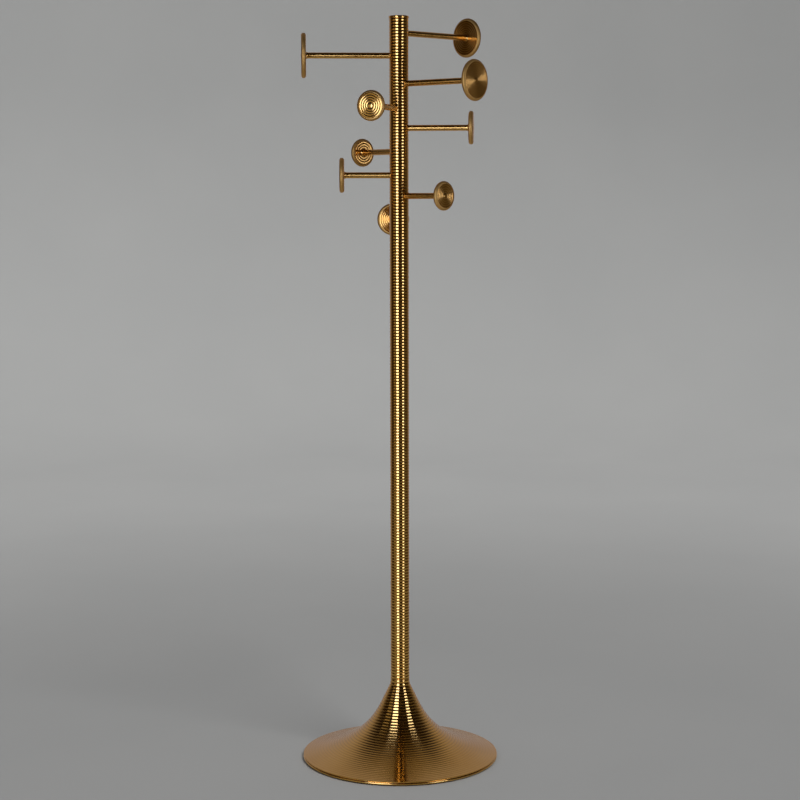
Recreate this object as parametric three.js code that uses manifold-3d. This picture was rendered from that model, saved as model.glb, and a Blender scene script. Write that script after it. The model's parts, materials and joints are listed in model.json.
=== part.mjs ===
// Coat and hat stand: a ribbed brass post on a flared, weighted foot, with nine straight arms that
// each end in a round disc. Millimetres, +Z up, the floor is Z = 0 and the post's axis is X = Y = 0.
// The front of the stand faces -Y. The fine ribs that are turned into the brass are left off here.

import * as THREE from 'three';
import { mergeVertices } from 'three/addons/utils/BufferGeometryUtils.js';
import Module from 'manifold-3d';

const wasm = await Module();
wasm.setup();

// ---- Driving dimensions ----

const GAP = 0.3; // clearance between two pieces that touch

const POST_R = 22.5;
const POST_WALL = 1.6;
const POST_BORE_R = POST_R - POST_WALL;
const PLUG_R = POST_BORE_R - GAP;
const POST_ROUND = 36; // facets round the post and what fits inside it

const NECK_TOP = 190.5; // top edge of the flared foot
const COLLAR_H = 2; // flange of the spigot, pinched between foot and post
const LOWER_JOINT = 716;
const UPPER_JOINT = 1237.5;
const POST_TOP = 1744;
const STAND_TOP = 1750;
const JOINER_HALF = 26;
const JOINER_BORE_R = 16;

const FOOT_R = 232.5;
const FOOT_WALL = 1.5;
const FOOT_ROUND = 48;
const PAD_R = 205;
const PAD_H = 2;
const PLATE_R = 226.3;
const PLATE_BOTTOM = PAD_H + GAP;
const PLATE_TOP = PLATE_BOTTOM + 4;
const RIM_TOP = 8.6;
const BALLAST_R = 140;
const BALLAST_TOP = 30;
const RECESS_R = 15; // recess that hides the lower nut
const RECESS_TOP = 17;

const TIE_R = 6;
const TIE_TOP = 240;
const NUT_FLATS = 19;
const NUT_H = 9.9;
const WASHER_R = 13;
const WASHER_H = 2;
const SPIGOT_BOTTOM = 160;
const SPIGOT_TOP = 225;

const ROD_R = 7;
const STUD_R = 4;
const ROD_SHOULDER = 15.8; // distance of the rod's inner shoulder from the post's axis
const SOCKET_R = 9;
const FLARE_R = 9.2; // where the rod widens to meet its disc
const DISC_HALF = 5.5; // half the thickness of a disc, and the radius of its rounded edge
const DISC_SINK = 2; // depth of the counterbore for the screw's head
const SCREW_R = 3;
const SCREW_HEAD_R = 6.5;
const SCREW_REACH = 18;

// Each arm: height of its rod, bearing (0 is the front, -Y, and 90 is +X), distance from the post's
// axis to the middle of the disc, and the disc's radius.
const ARMS = [
  { height: 1711.8, bearing: 131, reach: 214.5, discR: 46 },
  { height: 1659.8, bearing: -87, reach: 219.5, discR: 51.5 },
  { height: 1595.4, bearing: 51.7, reach: 216, discR: 46.5 },
  { height: 1539.5, bearing: -25, reach: 148, discR: 34.5 },
  { height: 1494.7, bearing: 85.4, reach: 167, discR: 38.5 },
  { height: 1440.8, bearing: -140.5, reach: 136.5, discR: 33 },
  { height: 1386.2, bearing: -89, reach: 133, discR: 40.5 },
  { height: 1338.2, bearing: 47.7, reach: 137.5, discR: 33.5 },
  { height: 1283, bearing: -174, reach: 136, discR: 38.5 },
];

// ---- Materials ----

const brass = () => new THREE.MeshStandardMaterial({ color: 0xb08a4e, roughness: 0.28, metalness: 1 });
const steel = () => new THREE.MeshStandardMaterial({ color: 0x9a9c9e, roughness: 0.4, metalness: 1 });
const iron = () => new THREE.MeshStandardMaterial({ color: 0x3a3a3c, roughness: 0.75, metalness: 0.6 });
const felt = () => new THREE.MeshStandardMaterial({ color: 0x26241f, roughness: 1, metalness: 0 });

// ---- Shape helpers ----

// A turned piece: [radius, height] points taken anticlockwise round its section, spun about Z.
function turned(section, facets) {
  const points = section.map(([radius, height]) => new THREE.Vector2(radius, height));
  return new THREE.LatheGeometry(points, facets).rotateX(Math.PI / 2);
}

// A plain tube about Z; its section closes on itself.
function tube(outerR, boreR, bottom, top, facets) {
  const section = [[boreR, bottom], [outerR, bottom], [outerR, top], [boreR, top], [boreR, bottom]];
  return turned(section, facets);
}

// A hexagonal nut about Z.
function hexNut(flats, boreR, height, bottom) {
  const corner = flats / Math.sqrt(3);
  const outline = new THREE.Shape();
  for (let i = 0; i < 6; i += 1) {
    const turn = (i * Math.PI) / 3;
    const at = [corner * Math.cos(turn), corner * Math.sin(turn)];
    if (i === 0) outline.moveTo(...at);
    else outline.lineTo(...at);
  }
  outline.closePath();
  outline.holes.push(new THREE.Path().absarc(0, 0, boreR, 0, 2 * Math.PI, true));
  const settings = { depth: height, bevelEnabled: false, curveSegments: 8 };
  return new THREE.ExtrudeGeometry(outline, settings).translate(0, 0, bottom);
}

// A geometry as a manifold solid, and back again.
function toSolid(geometry) {
  const bare = new THREE.BufferGeometry();
  bare.setAttribute('position', geometry.getAttribute('position').clone());
  bare.setIndex(geometry.getIndex());
  const welded = mergeVertices(bare, 1e-4);
  return new wasm.Manifold(new wasm.Mesh({
    numProp: 3,
    vertProperties: new Float32Array(welded.getAttribute('position').array),
    triVerts: new Uint32Array(welded.getIndex().array),
  }));
}

function toGeometry(solid) {
  const mesh = solid.getMesh();
  const geometry = new THREE.BufferGeometry();
  geometry.setAttribute('position', new THREE.BufferAttribute(new Float32Array(mesh.vertProperties), 3));
  geometry.setIndex(new THREE.BufferAttribute(new Uint32Array(mesh.triVerts), 1));
  geometry.computeVertexNormals();
  return geometry;
}

function named(name, geometry, material) {
  const mesh = new THREE.Mesh(geometry, material);
  mesh.name = name;
  return mesh;
}

// Turns a piece that is built along +Z so that it lies along an arm.
function layAlongArm(mesh, arm) {
  mesh.rotation.set(Math.PI / 2, 0, THREE.MathUtils.degToRad(arm.bearing), 'ZXY');
  mesh.position.set(0, 0, arm.height);
  return mesh;
}

// ---- Foot ----

// Outer face of the flare below the neck: height against radius.
const flareHeight = (radius) => 15583 / (radius + 40.9) - 46.5;

// Section of the outer face, from the rim up to the neck.
function flareOutside() {
  const radii = [FOOT_R - 0.5, 210, 184, 158, 134, 112, 92, 74, 58, 45];
  const skirt = radii.map((radius) => [radius, flareHeight(radius)]);
  const neck = [[35.5, 154.5], [30, 165.5], [25, 176], [22.9, 184], [POST_R, NECK_TOP]];
  return [...skirt, ...neck];
}

// The same section moved inwards by the sheet's thickness.
function flareInside(outside) {
  return outside.map(([radius, height], i) => {
    if (i === outside.length - 1) return [radius - FOOT_WALL, height];
    const [r0, z0] = outside[Math.max(i - 1, 0)];
    const [r1, z1] = outside[i + 1];
    const length = Math.hypot(r1 - r0, z1 - z0);
    return [radius - (FOOT_WALL * (z1 - z0)) / length, height + (FOOT_WALL * (r1 - r0)) / length];
  });
}

function baseShell() {
  const outside = flareOutside();
  const inside = flareInside(outside).reverse();
  const lip = [FOOT_R - 0.5, RIM_TOP + GAP];
  return turned([lip, ...outside, ...inside, lip], FOOT_ROUND);
}

// Half-round bead that closes the foot's edge.
function rimRing() {
  const inner = PLATE_R + GAP;
  const middle = (PLATE_BOTTOM + RIM_TOP) / 2;
  const section = [
    [inner, PLATE_BOTTOM],
    [FOOT_R - 1.6, PLATE_BOTTOM],
    [FOOT_R - 0.3, middle - 1.7],
    [FOOT_R, middle],
    [FOOT_R - 0.3, middle + 1.7],
    [FOOT_R - 1.6, RIM_TOP],
    [inner, RIM_TOP],
    [inner, PLATE_BOTTOM],
  ];
  return turned(section, FOOT_ROUND);
}

function ballast() {
  const bottom = PLATE_TOP + GAP;
  const bore = TIE_R + GAP;
  const section = [
    [RECESS_R, bottom],
    [BALLAST_R, bottom],
    [BALLAST_R, BALLAST_TOP - 8],
    [BALLAST_R - 14, BALLAST_TOP],
    [bore, BALLAST_TOP],
    [bore, RECESS_TOP],
    [RECESS_R, RECESS_TOP],
    [RECESS_R, bottom],
  ];
  return turned(section, FOOT_ROUND);
}

// Sleeve with a flange that joins foot and post.
function spigot() {
  const bore = TIE_R + GAP;
  const flangeBottom = NECK_TOP + GAP;
  const section = [
    [bore, SPIGOT_BOTTOM],
    [PLUG_R, SPIGOT_BOTTOM],
    [PLUG_R, flangeBottom],
    [POST_R, flangeBottom],
    [POST_R, flangeBottom + COLLAR_H],
    [PLUG_R, flangeBottom + COLLAR_H],
    [PLUG_R, SPIGOT_TOP],
    [bore, SPIGOT_TOP],
    [bore, SPIGOT_BOTTOM],
  ];
  return turned(section, POST_ROUND);
}

function foot() {
  const group = new THREE.Group();
  const washerBottom = RECESS_TOP - GAP - WASHER_H;
  const tieBore = TIE_R + GAP;
  const upperWasher = SPIGOT_TOP + GAP;
  const plate = tube(PLATE_R, RECESS_R, PLATE_BOTTOM, PLATE_TOP, FOOT_ROUND);
  const pad = turned([[0, 0], [PAD_R, 0], [PAD_R, PAD_H], [0, PAD_H]], FOOT_ROUND);
  const tie = turned([[0, 3.2], [TIE_R, 3.2], [TIE_R, TIE_TOP], [0, TIE_TOP]], 16);
  const lowerWasher = tube(WASHER_R, tieBore, washerBottom, washerBottom + WASHER_H, 16);
  const topWasher = tube(WASHER_R, tieBore, upperWasher, upperWasher + WASHER_H, 16);
  const lowerNut = hexNut(NUT_FLATS, tieBore, NUT_H, washerBottom - GAP - NUT_H);
  const upperNut = hexNut(NUT_FLATS, tieBore, NUT_H, upperWasher + WASHER_H + GAP);
  group.add(
    named('floor_pad', pad, felt()),
    named('base_plate', plate, steel()),
    named('rim_ring', rimRing(), brass()),
    named('ballast', ballast(), iron()),
    named('base_shell', baseShell(), brass()),
    named('tie_rod', tie, steel()),
    named('washer_lower', lowerWasher, steel()),
    named('nut_lower', lowerNut, steel()),
    named('base_spigot', spigot(), brass()),
    named('washer_upper', topWasher, steel()),
    named('nut_upper', upperNut, steel()),
  );
  return group;
}

// ---- Post ----

// Top section of the post, with one round hole through its wall for each arm.
function drilledSection(bottom, top) {
  let wall = toSolid(tube(POST_R, POST_BORE_R, bottom, top, POST_ROUND));
  for (const arm of ARMS) {
    const drill = new THREE.CylinderGeometry(ROD_R + GAP, ROD_R + GAP, POST_R, 16);
    drill.translate(0, -POST_R, 0);
    drill.rotateZ(THREE.MathUtils.degToRad(arm.bearing));
    drill.translate(0, 0, arm.height);
    wall = wall.subtract(toSolid(drill));
  }
  return toGeometry(wall);
}

function joiner(middle) {
  return tube(PLUG_R, JOINER_BORE_R, middle - JOINER_HALF, middle + JOINER_HALF, POST_ROUND);
}

function topCap() {
  const edge = POST_R + 0.9;
  const section = [
    [0, POST_TOP - 20],
    [PLUG_R, POST_TOP - 20],
    [PLUG_R, POST_TOP + GAP],
    [edge, POST_TOP + GAP],
    [edge, STAND_TOP - 2.4],
    [edge - 1.2, STAND_TOP - 0.6],
    [edge - 3.6, STAND_TOP],
    [0, STAND_TOP],
  ];
  return turned(section, POST_ROUND);
}

function post() {
  const group = new THREE.Group();
  const start = NECK_TOP + COLLAR_H + 2 * GAP;
  const half = GAP / 2;
  const lower = tube(POST_R, POST_BORE_R, start, LOWER_JOINT - half, POST_ROUND);
  const middle = tube(POST_R, POST_BORE_R, LOWER_JOINT + half, UPPER_JOINT - half, POST_ROUND);
  group.add(
    named('post_lower', lower, brass()),
    named('post_middle', middle, brass()),
    named('post_upper', drilledSection(UPPER_JOINT + half, POST_TOP), brass()),
    named('joiner_lower', joiner(LOWER_JOINT), steel()),
    named('joiner_upper', joiner(UPPER_JOINT), steel()),
    named('top_cap', topCap(), brass()),
  );
  return group;
}

// ---- Arms: each piece is built along +Z, with the post's axis at Z = 0 ----

// Cross socket inside the post, with a blind bore for the rod's stud.
function socket() {
  const back = -18.5;
  const front = ROD_SHOULDER - GAP;
  const bore = STUD_R + GAP;
  const section = [[0, back], [SOCKET_R, back], [SOCKET_R, front], [bore, front], [bore, 1.2], [0, 1.2]];
  return turned(section, 12);
}

// Rod with a stud at the post end, and at the disc end a short flare and a blind screw hole.
function rod(reach) {
  const end = reach - DISC_HALF - GAP;
  const hole = SCREW_R + GAP;
  const holeEnd = reach - SCREW_REACH - 2;
  const section = [
    [0, 1.5],
    [STUD_R, 1.5],
    [STUD_R, ROD_SHOULDER],
    [ROD_R, ROD_SHOULDER],
    [ROD_R, end - 5],
    [ROD_R + 0.5, end - 2.6],
    [FLARE_R - 0.8, end - 0.9],
    [FLARE_R, end],
    [hole, end],
    [hole, holeEnd],
    [0, holeEnd],
  ];
  return turned(section, 16);
}

// Disc with a fully rounded edge and a counterbored hole for its screw.
function disc(reach, radius) {
  const hole = SCREW_R + GAP;
  const counterbore = SCREW_HEAD_R + GAP;
  const outerFace = reach + DISC_HALF;
  const edge = [-90, -60, -30, 0, 30, 60, 90].map((degrees) => {
    const turn = THREE.MathUtils.degToRad(degrees);
    return [radius - DISC_HALF + DISC_HALF * Math.cos(turn), reach + DISC_HALF * Math.sin(turn)];
  });
  const section = [
    [hole, reach - DISC_HALF],
    ...edge,
    [counterbore, outerFace],
    [counterbore, outerFace - DISC_SINK],
    [hole, outerFace - DISC_SINK],
    [hole, reach - DISC_HALF],
  ];
  return turned(section, 28);
}

// Low domed screw that holds the disc on the rod.
function screw(reach) {
  const outerFace = reach + DISC_HALF;
  const seat = outerFace - DISC_SINK + GAP;
  const section = [
    [0, reach - SCREW_REACH],
    [SCREW_R, reach - SCREW_REACH],
    [SCREW_R, seat],
    [SCREW_HEAD_R, seat],
    [SCREW_HEAD_R, outerFace - 0.6],
    [4, outerFace + 0.3],
    [0, outerFace + 0.6],
  ];
  return turned(section, 12);
}

function armPieces(arm, number) {
  const pieces = [
    named(`arm_${number}_socket`, socket(), steel()),
    named(`arm_${number}_rod`, rod(arm.reach), brass()),
    named(`arm_${number}_disc`, disc(arm.reach, arm.discR), brass()),
    named(`arm_${number}_screw`, screw(arm.reach), brass()),
  ];
  return pieces.map((mesh) => layAlongArm(mesh, arm));
}

// ---- Assembly ----

const stand = new THREE.Group();
stand.name = 'coat_stand';
stand.add(foot(), post());
ARMS.forEach((arm, i) => stand.add(...armPieces(arm, i + 1)));

export default stand;
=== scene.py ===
"""Coat and hat stand: the looks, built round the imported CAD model.

The post, the foot and the discs carry fine turned ribs here, as real geometry whose crests lie on the
CAD faces. Places and sizes come from the CAD nodes' boxes. Sections are written in millimetres and
become metres when they are spun.
"""

import json
import math

import bmesh
import bpy
import numpy as np
from mathutils import Euler, Matrix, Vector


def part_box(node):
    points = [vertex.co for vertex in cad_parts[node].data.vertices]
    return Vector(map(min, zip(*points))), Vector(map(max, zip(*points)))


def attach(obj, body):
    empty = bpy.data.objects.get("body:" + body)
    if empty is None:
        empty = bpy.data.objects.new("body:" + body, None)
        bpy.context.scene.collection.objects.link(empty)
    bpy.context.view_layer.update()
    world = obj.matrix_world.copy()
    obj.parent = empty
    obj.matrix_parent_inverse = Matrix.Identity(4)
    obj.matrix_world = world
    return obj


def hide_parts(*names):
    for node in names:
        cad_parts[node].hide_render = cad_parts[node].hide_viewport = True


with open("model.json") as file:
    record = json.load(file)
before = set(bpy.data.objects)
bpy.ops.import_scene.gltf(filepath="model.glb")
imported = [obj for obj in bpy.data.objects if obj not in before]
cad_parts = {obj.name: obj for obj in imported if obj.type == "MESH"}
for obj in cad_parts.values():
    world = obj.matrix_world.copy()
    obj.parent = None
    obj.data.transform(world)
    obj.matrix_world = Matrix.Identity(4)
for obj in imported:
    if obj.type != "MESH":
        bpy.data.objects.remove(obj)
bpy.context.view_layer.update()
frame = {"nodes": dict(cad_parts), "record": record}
nodes = frame["nodes"]

MM = 0.001
ARM_COUNT = 9

# ---- Facets and ribs: lengths in millimetres ----

POST_ROUND = 96
FOOT_ROUND = 160
DISC_ROUND = 96
ROD_ROUND = 48
CREASE = 30  # degrees between two faces that leaves a sharp edge

RIB_PITCH = 7.0  # height of one rib of the post
RIB_RELIEF = 0.75  # from a rib's crest down to the groove beside it
RIB_STEPS = 8  # faces across one rib
FOOT_RELIEF_RIM = 0.3  # the foot's ribs get shallower towards its edge
FOOT_RELIEF_RISE = 1.6  # full depth is reached at 1 / 1.6 of the way to the neck

DISC_PITCH = 5.1  # width of one turned ring of a disc
DISC_RELIEF = 0.5
DISC_STEPS = 8

FOOT_WALL = 1.5
POST_WALL = 1.6
GAP = 0.3  # between two pieces that meet
CHAMFER = 0.8  # on the end of a plug


# ---- Mesh helpers ----


def millimetres(node):
    """A CAD node's lowest and highest corner, in millimetres."""
    lo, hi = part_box(node)
    return lo / MM, hi / MM


def shape_object(name, mesh):
    piece = bpy.data.objects.new(name, mesh)
    bpy.context.scene.collection.objects.link(piece)
    return piece


def spin(name, section, facets, grooves=None, finishes=None):
    """A closed turned body: [radius, height] points in millimetres, spun about Z.

    grooves holds each point's depth in its groove, from 0 on a crest to 1 at the bottom, and
    finishes holds a material index for the strip that follows each point.
    """
    section = [(max(r, 0.0), z) for r, z in section]
    capped = section[0][0] == 0 and section[-1][0] == 0
    angles = np.arange(facets) * 2 * np.pi / facets
    verts, rings, depth = [], [], []
    for i, (r, z) in enumerate(section):
        value = grooves[i] if grooves is not None else 0.0
        if r == 0:
            rings.append([len(verts)] * facets)
            verts.append((0.0, 0.0, z * MM))
            depth.append(value)
            continue
        rings.append(list(range(len(verts), len(verts) + facets)))
        verts.extend((r * MM * math.cos(a), r * MM * math.sin(a), z * MM) for a in angles)
        depth.extend([value] * facets)
    faces, finish = [], []
    count = len(section)
    for i in range(count - 1 if capped else count):
        lower, upper = rings[i], rings[(i + 1) % count]
        for j in range(facets):
            k = (j + 1) % facets
            corners = [lower[j], lower[k], upper[k], upper[j]]
            face = [c for n, c in enumerate(corners) if c != corners[n - 1]]
            if len(face) > 2:
                faces.append(face)
                finish.append(finishes[i] if finishes is not None else 0)
    mesh = bpy.data.meshes.new(name)
    mesh.from_pydata(verts, [], faces)
    mesh.polygons.foreach_set("material_index", finish)
    mesh.attributes.new("groove", "FLOAT", "POINT").data.foreach_set("value", depth)
    turn_outwards(mesh)
    shade_smooth(mesh)
    return shape_object(name, mesh)


def turn_outwards(mesh):
    work = bmesh.new()
    work.from_mesh(mesh)
    bmesh.ops.recalc_face_normals(work, faces=work.faces)
    work.to_mesh(mesh)
    work.free()


def shade_smooth(mesh):
    """Smooth shading everywhere but at creases."""
    mesh.polygons.foreach_set("use_smooth", [True] * len(mesh.polygons))
    mesh.set_sharp_from_angle(angle=math.radians(CREASE))
    mesh.update()


def place(piece, stands_for, slot):
    """Every piece of the stand is fixed, so it rides on the one body."""
    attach(piece, "root")
    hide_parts(stands_for)


def rounded(cx, cz, radius, start, end, steps):
    """Points of an arc in a section, from one angle to the other, in degrees."""
    turns = np.radians(np.linspace(start, end, steps + 1))
    return [(cx + radius * math.cos(t), cz + radius * math.sin(t)) for t in turns]


def bead_depth(share):
    """Depth of a convex rib across its width, 0 at the crest and 1 in the grooves at its sides."""
    return (2 * share - 1) ** 2


# ---- Post ----

HOLE_R = 7.3  # hole in the post that a rod passes through
DRILL_FROM, DRILL_TO = 8, 48  # distances from the post's axis


def post_section(node):
    """Ribbed outside and plain bore of one section of the post."""
    lo, hi = millimetres(node)
    radius, height = hi.x, hi.z - lo.z
    bore = radius - POST_WALL
    count = round(height / RIB_PITCH)
    steps = count * RIB_STEPS
    section, grooves = [(bore, lo.z)], [0.0]
    for i in range(steps + 1):
        depth = bead_depth((i % RIB_STEPS) / RIB_STEPS)
        section.append((radius - RIB_RELIEF * depth, lo.z + height * i / steps))
        grooves.append(depth)
    section.append((bore, hi.z))
    grooves.append(0.0)
    return section, grooves


def post_piece(node, name):
    section, grooves = post_section(node)
    piece = spin(name, section, POST_ROUND, grooves)
    place(piece, node, "brass")
    return piece


def drill_for_rods(piece):
    """Cuts the hole that each rod passes through."""
    cutters = bmesh.new()
    length = (DRILL_TO - DRILL_FROM) * MM
    to_middle = Matrix.Translation((0, 0, (DRILL_FROM + DRILL_TO) / 2 * MM))
    for number in range(1, ARM_COUNT + 1):
        made = bmesh.ops.create_cone(
            cutters,
            cap_ends=True,
            segments=ROD_ROUND,
            radius1=HOLE_R * MM,
            radius2=HOLE_R * MM,
            depth=length,
        )
        lay = arm_of(number)["lay"]
        bmesh.ops.transform(cutters, matrix=lay @ to_middle, verts=made["verts"])
    mesh = bpy.data.meshes.new("rod_holes")
    cutters.to_mesh(mesh)
    cutters.free()
    tool = shape_object("rod_holes", mesh)
    cut = piece.modifiers.new("rod_holes", "BOOLEAN")
    cut.object, cut.operation, cut.solver = tool, "DIFFERENCE", "EXACT"
    cut_piece = piece.evaluated_get(bpy.context.evaluated_depsgraph_get())
    done = bpy.data.meshes.new_from_object(cut_piece)
    piece.modifiers.clear()
    piece.data = done
    bpy.data.objects.remove(tool)
    shade_smooth(done)


def arm_of(number):
    """Where an arm lies, read from the box of its disc: its reach and radius, and its placement."""
    lo, hi = millimetres(f"arm_{number}_disc")
    middle = (lo + hi) / 2
    bearing = math.atan2(middle.x, -middle.y)
    level = Euler((math.pi / 2, 0, bearing)).to_matrix().to_4x4()
    return {
        "reach": math.hypot(middle.x, middle.y),
        "radius": (hi.z - lo.z) / 2,
        "lay": Matrix.Translation((0, 0, middle.z * MM)) @ level,
    }


def top_cap():
    """Thin cap with its upper edge rounded and a very shallow dish, on a plug in the post."""
    lo, hi = millimetres("top_cap")
    edge = hi.x
    overhang, under, over, dish = 0.9, 0.5, 2.2, 0.05
    plug = edge - overhang - POST_WALL - GAP
    shoulder = millimetres("post_upper")[1].z + GAP
    section = [(0, lo.z), (plug - CHAMFER, lo.z), (plug, lo.z + CHAMFER)]
    section += [(plug, shoulder), (edge - under, shoulder)]
    section += rounded(edge - under, shoulder + under, under, -60, 0, 3)
    section += rounded(edge - over, hi.z - over, over, 0, 90, 8)
    section += [(edge - 6, hi.z), (edge - 9, hi.z - dish), (0, hi.z - dish)]
    piece = spin("top_cap_turned", section, POST_ROUND)
    place(piece, "top_cap", "brass")
    return piece


# ---- Foot ----

SKIRT_TOP_R = 45  # the hyperbola ends and the neck begins
FLOOR_PLATE_R = 226.6  # inside of the bead


def skirt_height(radius):
    """Height of the foot's skirt, a hyperbola, at a distance from the axis."""
    return 15583 / (radius + 40.9) - 46.5


def spline(a, b, c, d, t):
    """Point between b and c, at share t, of the smooth curve through four knots."""
    slope = (c - a) * t
    bend = (2 * a - 5 * b + 4 * c - d) * t**2
    twist = (3 * b - a - 3 * c + d) * t**3
    return 0.5 * (2 * b + slope + bend + twist)


def flare_curve():
    """Smooth outside of the foot from its edge up to the neck, as closely spaced points."""
    corner = millimetres("base_shell")[1]
    skirt = [(r, skirt_height(r)) for r in np.linspace(corner.x, SKIRT_TOP_R, 60)]
    neck = [(35.5, 154.5), (30, 165.5), (25, 176), (22.9, 184)]
    neck += [(22.5, corner.z), (22.5, corner.z + 8)]
    knots = [np.array(k) for k in skirt[-3:] + neck]
    points = [np.array(p) for p in skirt]
    for a, b, c, d in zip(knots[1:], knots[2:], knots[3:], knots[4:]):
        points += [spline(a, b, c, d, t) for t in np.linspace(0, 1, 13)[1:]]
    return np.array(points)


def resampled(points, count):
    """The same curve in equal steps, with its outward unit normals."""
    lengths = np.concatenate([[0], np.cumsum(np.linalg.norm(np.diff(points, axis=0), axis=1))])
    at = np.linspace(0, lengths[-1], count + 1)
    even = np.stack([np.interp(at, lengths, points[:, k]) for k in (0, 1)], axis=1)
    run = np.gradient(even, axis=0)
    normal = np.stack([run[:, 1], -run[:, 0]], axis=1)
    normal /= np.linalg.norm(normal, axis=1)[:, None]
    return even, normal, lengths[-1]


def base_shell():
    """The foot: ribbed outside, and plain inside at one wall's thickness."""
    curve = flare_curve()
    ribs = round(resampled(curve, 10)[2] / RIB_PITCH)
    steps = ribs * RIB_STEPS
    even, normal, _ = resampled(curve, steps)
    section, grooves = [], []
    for i in range(steps + 1):
        depth = bead_depth((i % RIB_STEPS) / RIB_STEPS)
        rise = min(1, i / steps * FOOT_RELIEF_RISE)
        relief = FOOT_RELIEF_RIM + (RIB_RELIEF - FOOT_RELIEF_RIM) * rise
        section.append(tuple(even[i] - normal[i] * relief * depth))
        grooves.append(depth * relief / RIB_RELIEF)
    coarse, inward, _ = resampled(curve, 70)
    inside = [tuple(p - n * FOOT_WALL) for p, n in zip(coarse, inward)][::-1]
    section += inside
    grooves += [0.0] * len(inside)
    piece = spin("foot_flared", section, FOOT_ROUND, grooves)
    place(piece, "base_shell", "brass")
    return piece


def rim_bead():
    """Half-round bead with a small step above it, which makes the thin dark line."""
    lo, hi = millimetres("rim_ring")
    step_high, step_in = 1.4, 0.8
    bead = (hi.z - lo.z - step_high) / 2
    middle = lo.z + bead
    step = hi.x - bead - step_in
    section = [(FLOOR_PLATE_R, lo.z)]
    section += rounded(hi.x - bead, middle, bead, -90, 90, 16)
    section += [(step, middle + bead), (step, hi.z), (FLOOR_PLATE_R, hi.z)]
    piece = spin("rim_bead", section, FOOT_ROUND)
    place(piece, "rim_ring", "brass")
    return piece


def neck_collar():
    """Thin flange between foot and post, on a sleeve that goes into both."""
    lo, hi = millimetres("base_spigot")
    low = millimetres("base_shell")[1].z + GAP
    high = millimetres("post_lower")[0].z - GAP
    bore, plug, edge = 6.3, hi.x - POST_WALL - GAP, 0.6
    section = [(bore, lo.z), (plug - CHAMFER, lo.z), (plug, lo.z + CHAMFER), (plug, low)]
    section += rounded(hi.x - edge, low + edge, edge, -90, 0, 4)
    section += rounded(hi.x - edge, high - edge, edge, 0, 90, 4)
    section += [(plug, high), (plug, hi.z - CHAMFER), (plug - CHAMFER, hi.z), (bore, hi.z)]
    piece = spin("neck_collar", section, POST_ROUND)
    place(piece, "base_spigot", "brass")
    return piece


def floor_pad():
    lo, hi = millimetres("floor_pad")
    edge = 0.7
    section = [(0, lo.z), (hi.x - edge, lo.z)]
    section += rounded(hi.x - edge, lo.z + edge, edge, -60, 0, 3)
    section += rounded(hi.x - edge, hi.z - edge, edge, 0, 90, 4)
    section += [(0, hi.z)]
    piece = spin("felt_pad", section, FOOT_ROUND)
    place(piece, "floor_pad", "felt")
    return piece


# ---- Arms: each piece lies along its own Z, with the post's axis at Z = 0 ----

DISC_HALF = 5.5
ROD_R = 7
STUD_R = 4  # the rod's inner end, in its socket
STUD_FROM, STUD_TO = 1.5, 15.8
FLARE_R, FLARE_LONG = 9.2, 7  # the rod's outer end, against the disc
SCREW_HOLE_R, SCREW_HOLE_DEEP = 3.3, 20
SCREW_R, SCREW_DEEP = 3, 18
BOSS_R, BOSS_RISE = 6.5, 1.3
SEAT_R, SEAT_DEEP = 6.8, 2  # recess for the boss in the disc's outer face
TURNED, EDGE = 0, 1  # a disc's two finishes
EDGE_PAINTED_SHADE = 0.68  # the rounded edge is a little duller than the rings and its colour darkened, like a shallow groove: painted shade that dims its reflections


def disc_face(radius, start):
    """Turned rings from a starting radius out to the rounded edge: radius, depth and groove."""
    outer = radius - DISC_HALF
    rings = max(2, round((outer - start) / DISC_PITCH))
    steps = rings * DISC_STEPS
    points = []
    for i in range(steps + 1):
        depth = bead_depth((i % DISC_STEPS) / DISC_STEPS)
        points.append((start + (outer - start) * i / steps, DISC_RELIEF * depth, depth))
    return points


def disc_piece(number, arm):
    reach, radius = arm["reach"], arm["radius"]
    back, front = reach - DISC_HALF, reach + DISC_HALF
    section, grooves, finishes = [(SCREW_HOLE_R, back)], [0.0], [TURNED]
    for r, sink, depth in disc_face(radius, FLARE_R + 0.6):
        section.append((r, back + sink))
        grooves.append(depth)
        finishes.append(TURNED)
    finishes[-1] = EDGE
    edge = rounded(radius - DISC_HALF, reach, DISC_HALF, -90, 90, 20)
    section += edge
    # the rounded edge's colour is darkened like a shallow groove: painted shade
    grooves += [EDGE_PAINTED_SHADE] * len(edge)
    finishes += [EDGE] * len(edge)
    for r, sink, depth in reversed(disc_face(radius, SEAT_R + 0.6)):
        section.append((r, front - sink))
        grooves.append(depth)
        finishes.append(TURNED)
    seat = front - SEAT_DEEP
    section += [(SEAT_R, front - DISC_RELIEF), (SEAT_R, seat), (SCREW_HOLE_R, seat)]
    # the boss's seat is darkened like the bottom of a groove: tarnish and painted shade in the recess
    grooves += [1.0] * 3
    finishes += [TURNED] * 3
    piece = spin(f"disc_{number}", section, DISC_ROUND, grooves, finishes)
    piece.matrix_world = arm["lay"]
    place(piece, f"arm_{number}_disc", "brass")
    return piece


def rod_piece(number, arm):
    end = arm["reach"] - DISC_HALF - GAP
    hole_end = arm["reach"] - SCREW_HOLE_DEEP
    section = [(0, STUD_FROM), (STUD_R - 0.4, STUD_FROM), (STUD_R, STUD_FROM + 0.4)]
    section += [(STUD_R, STUD_TO), (ROD_R, STUD_TO), (ROD_R, 40), (ROD_R, end - FLARE_LONG)]
    for t in np.linspace(0, 1, 13)[1:]:
        section.append((ROD_R + (FLARE_R - ROD_R) * t**2.2, end - FLARE_LONG * (1 - t) ** 1.3))
    section += [(SCREW_HOLE_R, end), (SCREW_HOLE_R, hole_end), (0, hole_end)]
    piece = spin(f"rod_{number}", section, ROD_ROUND)
    piece.matrix_world = arm["lay"]
    place(piece, f"arm_{number}_rod", "brass")
    return piece


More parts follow.
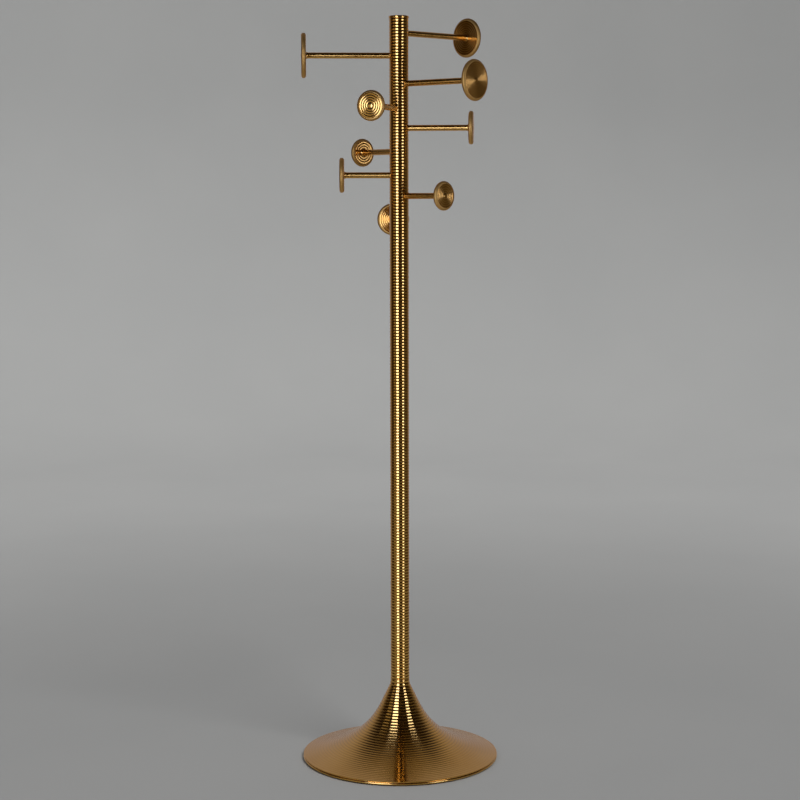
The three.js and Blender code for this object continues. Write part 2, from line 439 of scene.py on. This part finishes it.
def boss_piece(number, arm):
    """Low domed screw head in the middle of a disc's outer face, with its shank."""
    front = arm["reach"] + DISC_HALF
    seat = front - SEAT_DEEP + GAP
    tip = arm["reach"] - SCREW_DEEP
    section = [(0, tip), (SCREW_R, tip), (SCREW_R, seat), (BOSS_R, seat)]
    for t in np.radians(np.linspace(0, 90, 13)):
        section.append((BOSS_R * math.cos(t), front - 0.7 + BOSS_RISE * math.sin(t)))
    section[-1] = (0, section[-1][1])
    piece = spin(f"boss_{number}", section, ROD_ROUND)
    piece.matrix_world = arm["lay"]
    place(piece, f"arm_{number}_screw", "brass")
    return piece


# ---- Materials ----

STEEL_LIGHT, STEEL_DARK = (0.10, 0.10, 0.105), (0.06, 0.06, 0.065)
IRON_LIGHT, IRON_DARK = (0.05, 0.05, 0.052), (0.03, 0.03, 0.032)
FELT_LIGHT, FELT_DARK = (0.024, 0.021, 0.017), (0.014, 0.012, 0.010)
BRASS_LIGHT = (0.82, 0.48, 0.12)
BRASS_DEEP = (0.74, 0.41, 0.085)
TARNISH_AND_SHADE = (0.20, 0.10, 0.03)  # at the bottom of a groove: tarnish, deepened as painted shade
TARNISH_AND_SHADE_SHARE = 0.88
GROOVE_SHARPNESS = 2.5  # power that keeps the tarnish and the painted shade near the bottom of a groove
GROOVE_ROUGHNESS = 0.15
LINE_ROUGHNESS = 0.01
LINE_BUMP_MM = 0.04
GRAIN_ROUGHNESS = 0.08
GRAIN_BUMP = 0.4


def new_material(name):
    material = bpy.data.materials.new(name)
    material.use_nodes = True
    tree = material.node_tree
    return material, tree, tree.nodes["Principled BSDF"]


def noise(tree, vector, scale, detail=3.0):
    node = tree.nodes.new("ShaderNodeTexNoise")
    node.inputs["Scale"].default_value = scale
    node.inputs["Detail"].default_value = detail
    tree.links.new(vector, node.inputs["Vector"])
    return node.outputs["Fac"]


def map_range(tree, value, low, high):
    """Stretches the middle of a noise, where nearly all of it lies, from low to high."""
    node = tree.nodes.new("ShaderNodeMapRange")
    tree.links.new(value, node.inputs["Value"])
    node.inputs["From Min"].default_value = 0.3
    node.inputs["From Max"].default_value = 0.7
    node.inputs["To Min"].default_value = low
    node.inputs["To Max"].default_value = high
    return node.outputs["Result"]


def mix_colours(tree, factor, first, second):
    node = tree.nodes.new("ShaderNodeMix")
    node.data_type = "RGBA"
    tree.links.new(factor, node.inputs["Factor"])
    for socket, colour in ((node.inputs["A"], first), (node.inputs["B"], second)):
        if isinstance(colour, tuple):
            socket.default_value = (*colour, 1)
        else:
            tree.links.new(colour, socket)
    return node.outputs["Result"]


def maths(tree, operation, first, second):
    node = tree.nodes.new("ShaderNodeMath")
    node.operation = operation
    for socket, value in zip(node.inputs, (first, second)):
        if isinstance(value, float):
            socket.default_value = value
        else:
            tree.links.new(value, socket)
    return node.outputs["Value"]


def ramp(tree, value, start, end):
    """0 at start and 1 at end, with a smooth step between."""
    node = tree.nodes.new("ShaderNodeMapRange")
    node.interpolation_type = "SMOOTHSTEP"
    tree.links.new(value, node.inputs["Value"])
    node.inputs["From Min"].default_value = start
    node.inputs["From Max"].default_value = end
    return node.outputs["Result"]


def bump_from(tree, height, strength, distance, shader):
    bump = tree.nodes.new("ShaderNodeBump")
    bump.inputs["Strength"].default_value = strength
    bump.inputs["Distance"].default_value = distance
    tree.links.new(height, bump.inputs["Height"])
    tree.links.new(bump.outputs["Normal"], shader.inputs["Normal"])


def turning_coordinates(tree):
    """The object coordinates, then distance from the axis as X and height along it as Y."""
    where = tree.nodes.new("ShaderNodeTexCoord").outputs["Object"]
    split = tree.nodes.new("ShaderNodeSeparateXYZ")
    tree.links.new(where, split.inputs["Vector"])
    across = tree.nodes.new("ShaderNodeCombineXYZ")
    tree.links.new(split.outputs["X"], across.inputs["X"])
    tree.links.new(split.outputs["Y"], across.inputs["Y"])
    length = tree.nodes.new("ShaderNodeVectorMath")
    length.operation = "LENGTH"
    tree.links.new(across.outputs["Vector"], length.inputs[0])
    lines = tree.nodes.new("ShaderNodeCombineXYZ")
    tree.links.new(length.outputs["Value"], lines.inputs["X"])
    tree.links.new(split.outputs["Z"], lines.inputs["Y"])
    return where, lines.outputs["Vector"]


def brass_material(name, roughness, anisotropy, line_bump, brushed=0.25):
    """Brass with a mottled tone, fine lines left by the lathe, and grooves darkened by tarnish and
    painted shade.

    brushed turns the stretched highlights, as a share of a whole turn: 0.25 draws them out across
    the lathe's lines and 0 along them.
    """
    material, tree, shader = new_material(name)
    where, lines = turning_coordinates(tree)
    mottle = noise(tree, where, 9.0, 4.0)
    cloud = noise(tree, where, 70.0, 3.0)
    line = noise(tree, lines, 2200.0, 2.0)
    tone = mix_colours(tree, map_range(tree, mottle, 0.0, 1.0), BRASS_LIGHT, BRASS_DEEP)
    groove = tree.nodes.new("ShaderNodeAttribute")
    groove.attribute_name = "groove"
    # darker towards the bottom of each groove: tarnish, and painted shade in the grooves
    deep = maths(tree, "POWER", groove.outputs["Fac"], GROOVE_SHARPNESS)
    dark = maths(tree, "MULTIPLY", deep, TARNISH_AND_SHADE_SHARE)
    tree.links.new(mix_colours(tree, dark, tone, TARNISH_AND_SHADE), shader.inputs["Base Color"])
    shader.inputs["Metallic"].default_value = 1.0
    rough = map_range(tree, cloud, 0.9 * roughness, 1.1 * roughness)
    rough = maths(tree, "ADD", rough, map_range(tree, line, -LINE_ROUGHNESS, LINE_ROUGHNESS))
    rough = maths(tree, "ADD", rough, maths(tree, "MULTIPLY", deep, GROOVE_ROUGHNESS))
    tree.links.new(rough, shader.inputs["Roughness"])
    shader.inputs["Anisotropic"].default_value = anisotropy
    shader.inputs["Anisotropic Rotation"].default_value = brushed
    tangent = tree.nodes.new("ShaderNodeTangent")
    tangent.direction_type, tangent.axis = "RADIAL", "Z"
    tree.links.new(tangent.outputs["Tangent"], shader.inputs["Tangent"])
    bump_from(tree, line, line_bump, LINE_BUMP_MM * MM, shader)
    return material


def plain_material(name, light, dark, roughness, metallic, grain, bump_mm):
    """Two close tones and a fine grain: blackened steel, the skin of a casting, or felt."""
    material, tree, shader = new_material(name)
    where = tree.nodes.new("ShaderNodeTexCoord").outputs["Object"]
    coarse = map_range(tree, noise(tree, where, grain * 0.2, 3.0), 0.0, 1.0)
    fine = noise(tree, where, grain, 4.0)
    rough = map_range(tree, fine, roughness - GRAIN_ROUGHNESS, roughness + GRAIN_ROUGHNESS)
    tree.links.new(mix_colours(tree, coarse, light, dark), shader.inputs["Base Color"])
    tree.links.new(rough, shader.inputs["Roughness"])
    shader.inputs["Metallic"].default_value = metallic
    bump_from(tree, fine, GRAIN_BUMP, bump_mm * MM, shader)
    return material


# ---- Build ----

# Brass: name, roughness, anisotropy, strength of the lathe's lines
ribbed = brass_material("brass_ribbed", 0.13, 0.95, 0.015)
spun = brass_material("brass_spun", 0.15, 1.0, 0.01)
turned = brass_material("brass_turned", 0.2, 0.7, 0.12)
lip = brass_material("brass_lip", 0.48, 0.5, 0.1, 0.0)
bead = brass_material("brass_bead", 0.24, 0.9, 0.02)
drawn = brass_material("brass_drawn", 0.2, 1.0, 0.02)
steel = plain_material("blackened_steel", STEEL_LIGHT, STEEL_DARK, 0.5, 1.0, 400.0, 0.02)
iron = plain_material("iron_casting", IRON_LIGHT, IRON_DARK, 0.75, 0.6, 900.0, 0.2)
felt = plain_material("pressed_felt", FELT_LIGHT, FELT_DARK, 0.95, 0.0, 2500.0, 0.3)

POST_SECTIONS = {
    "post_lower": "post_ribbed_1",
    "post_middle": "post_ribbed_2",
    "post_upper": "post_ribbed_3",
}
for node, name in POST_SECTIONS.items():
    section = post_piece(node, name)
    if node == "post_upper":
        drill_for_rods(section)
    section.data.materials.clear()
    section.data.materials.append(ribbed)
base_shell().data.materials.append(spun)
top_cap().data.materials.append(bead)
rim_bead().data.materials.append(bead)
neck_collar().data.materials.append(bead)
floor_pad().data.materials.append(felt)
discs = bpy.data.collections.new("discs")  # for the light that reaches only the discs
for number in range(1, ARM_COUNT + 1):
    arm = arm_of(number)
    disc = disc_piece(number, arm)
    discs.objects.link(disc)
    disc.data.materials.append(turned)
    disc.data.materials.append(lip)
    rod_piece(number, arm).data.materials.append(drawn)
    boss_piece(number, arm).data.materials.append(turned)

hidden = {"steel": steel, "iron": iron}
for entry in frame["record"]["subparts"]:
    if entry["material_slot"] in hidden:
        data = nodes[entry["node"]].data
        data.materials.clear()
        data.materials.append(hidden[entry["material_slot"]])

# ---- Stage ----

FLOOR_R = 1.2
COVE_R = 2.0
STAGE_R = 7.0
STAGE_H = 4.4
STAGE_ROUND = 128
STAGE_LIGHT = (0.40, 0.402, 0.397)
STAGE_DARK = (0.385, 0.388, 0.384)
GLOW = 0.3  # of the stage far from the stand
GLOW_FROM, GLOW_TO = 1.0, 4.2  # distances from the stand between which it grows

CEILING = (0.010, 0.007, 0.004)
CEILING_BACK = (0.115, 0.088, 0.055)
ROOM_DIM = (0.055, 0.034, 0.010)
WALL_PALE = (0.32, 0.30, 0.345)
SIDE_TAN = (0.09, 0.072, 0.045)

LIGHT_DISTANCE = 3.0
COOL = (0.88, 1.0, 1.65)
DISC_COOL = (1.0, 1.03, 1.6)
WARM = (1.0, 0.92, 0.8)
NEUTRAL = (0.98, 1.0, 1.0)


def ring_surface(name, profile, material):
    """Open surface of revolution about Z from [radius, height] points in metres."""
    verts, faces = [], []
    for r, z in profile:
        turns = [2 * math.pi * j / STAGE_ROUND for j in range(STAGE_ROUND)]
        verts += [(r * math.cos(t), r * math.sin(t), z) for t in turns]
    for i in range(len(profile) - 1):
        a, b = i * STAGE_ROUND, (i + 1) * STAGE_ROUND
        for j in range(STAGE_ROUND):
            k = (j + 1) % STAGE_ROUND
            faces.append((a + j, b + j, b + k, a + k))
    mesh = bpy.data.meshes.new(name)
    mesh.from_pydata(verts, [], faces)
    mesh.polygons.foreach_set("use_smooth", [True] * len(faces))
    mesh.materials.append(material)
    made = shape_object(name, mesh)
    return made


def stage_material():
    """Matt studio paint. Away from the stand a faint glow evens out the light."""
    material, tree, shader = new_material("studio_paint")
    where, turned_at = turning_coordinates(tree)
    soft = map_range(tree, noise(tree, where, 1.3, 3.0), 0.0, 1.0)
    paint = mix_colours(tree, soft, STAGE_LIGHT, STAGE_DARK)
    split = tree.nodes.new("ShaderNodeSeparateXYZ")
    tree.links.new(turned_at, split.inputs["Vector"])
    away = ramp(tree, split.outputs["X"], GLOW_FROM, GLOW_TO)
    tree.links.new(paint, shader.inputs["Base Color"])
    tree.links.new(paint, shader.inputs["Emission Color"])
    tree.links.new(maths(tree, "MULTIPLY", away, GLOW), shader.inputs["Emission Strength"])
    shader.inputs["Roughness"].default_value = 0.7
    shader.inputs["Specular IOR Level"].default_value = 0.1
    return material


def studio():
    """Level pale floor that curves up, far away, into a plain wall on every side."""
    paint = stage_material()
    ring_surface("studio_floor", [(r, 0.0) for r in (0.001, 0.3, 0.6, 0.9, FLOOR_R)], paint)
    level = [(r, 0.0) for r in (FLOOR_R, 2.0, 3.0, 4.0)]
    cove = rounded(STAGE_R - COVE_R, COVE_R, COVE_R, -90, 0, 20)
    sweep = ring_surface("studio_sweep", level + cove + [(STAGE_R, STAGE_H)], paint)
    sweep.visible_glossy = False
    sweep.visible_shadow = False


def studio_world():
    """What the brass reflects beyond the floor: a dark ceiling, a dim room, a paler wall behind."""
    world = bpy.data.worlds.new("studio")
    world.use_nodes = True
    tree = world.node_tree
    shader = tree.nodes["Background"]
    split = tree.nodes.new("ShaderNodeSeparateXYZ")
    direction = tree.nodes.new("ShaderNodeTexCoord").outputs["Generated"]
    tree.links.new(direction, split.inputs["Vector"])
    x, y, z = (split.outputs[axis] for axis in "XYZ")  # 1 is straight right, back and up
    front_low = ramp(tree, z, 0.32, 0.05)
    back_low = ramp(tree, z, 0.97, 0.62)
    zenith = ramp(tree, z, 0.82, 0.98)
    leaning = maths(tree, "ADD", y, maths(tree, "MULTIPLY", zenith, 0.38))
    back = ramp(tree, leaning, 0.2, 0.75)
    right = ramp(tree, x, 0.6, 0.95)
    front_side = mix_colours(tree, front_low, CEILING, ROOM_DIM)
    back_side = mix_colours(tree, back_low, CEILING_BACK, WALL_PALE)
    around = mix_colours(tree, back, front_side, back_side)
    right_low = maths(tree, "MULTIPLY", right, front_low)
    tree.links.new(mix_colours(tree, right_low, around, SIDE_TAN), shader.inputs["Color"])
    bpy.context.scene.world = world


def area_light(name, place, turn, size, radiance, colour, shines_on):
    """Soft rectangular light for one of two things: "brass" mirrors it, "stage" is lit by it."""
    data = bpy.data.lights.new(name, "AREA")
    data.shape, (data.size, data.size_y) = "RECTANGLE", size
    data.energy, data.color = radiance * math.pi * size[0] * size[1], colour
    lamp = bpy.data.objects.new(name, data)
    lamp.location, lamp.rotation_euler = place, turn
    lamp.visible_camera = False
    lamp.visible_glossy = shines_on == "brass"
    lamp.visible_diffuse = shines_on == "stage"
    bpy.context.scene.collection.objects.link(lamp)
    return lamp


def upright_light(name, bearing, low, high, width, radiance, colour):
    """Upright light for the brass that faces the stand: bearing and width are in degrees."""
    b = math.radians(bearing)
    place = (LIGHT_DISTANCE * math.sin(b), -LIGHT_DISTANCE * math.cos(b), (low + high) / 2)
    size = (2 * LIGHT_DISTANCE * math.tan(math.radians(width / 2)), high - low)
    return area_light(name, place, (math.pi / 2, 0, b), size, radiance, colour, "brass")


def daylight():
    """Broad light from the right that gives the stand its soft shadow on the matt stage."""
    data = bpy.data.lights.new("daylight", "SUN")
    data.energy, data.angle = 1.5, math.radians(24)
    lamp = bpy.data.objects.new("daylight", data)
    lamp.rotation_euler = (math.radians(38), 0, math.radians(40))
    lamp.visible_glossy = False
    bpy.context.scene.collection.objects.link(lamp)


studio()
studio_world()
# Upright lights: name, bearing, lower and upper end, width, radiance, colour
upright_light("window_left", -24, 0.05, 2.3, 26, 4.6, COOL)
upright_light("panel_left", -60, 0.6, 1.9, 26, 0.42, WARM)
upright_light("key_right", 45, 0.6, 1.8, 20, 4.4, COOL)
disc_glow = upright_light("disc_glow", 77, 1.2, 1.8, 12, 2.2, DISC_COOL)
disc_glow.light_linking.receiver_collection = discs
area_light("overhead", (0, 0, 4.3), (0, 0, 0), (7.0, 7.0), 0.42, NEUTRAL, "stage")
daylight()
bpy.context.scene.view_settings.view_transform = "Standard"

# ---- Camera ----

lens = bpy.data.cameras.new("camera")
lens.lens, lens.sensor_width = 81, 36
camera = bpy.data.objects.new("camera", lens)
camera.location = (0.002, -4.213, 1.329)
camera.rotation_euler = (math.radians(83.66), math.radians(0.11), 0)  # with a very slight roll
bpy.context.scene.collection.objects.link(camera)
bpy.context.scene.camera = camera
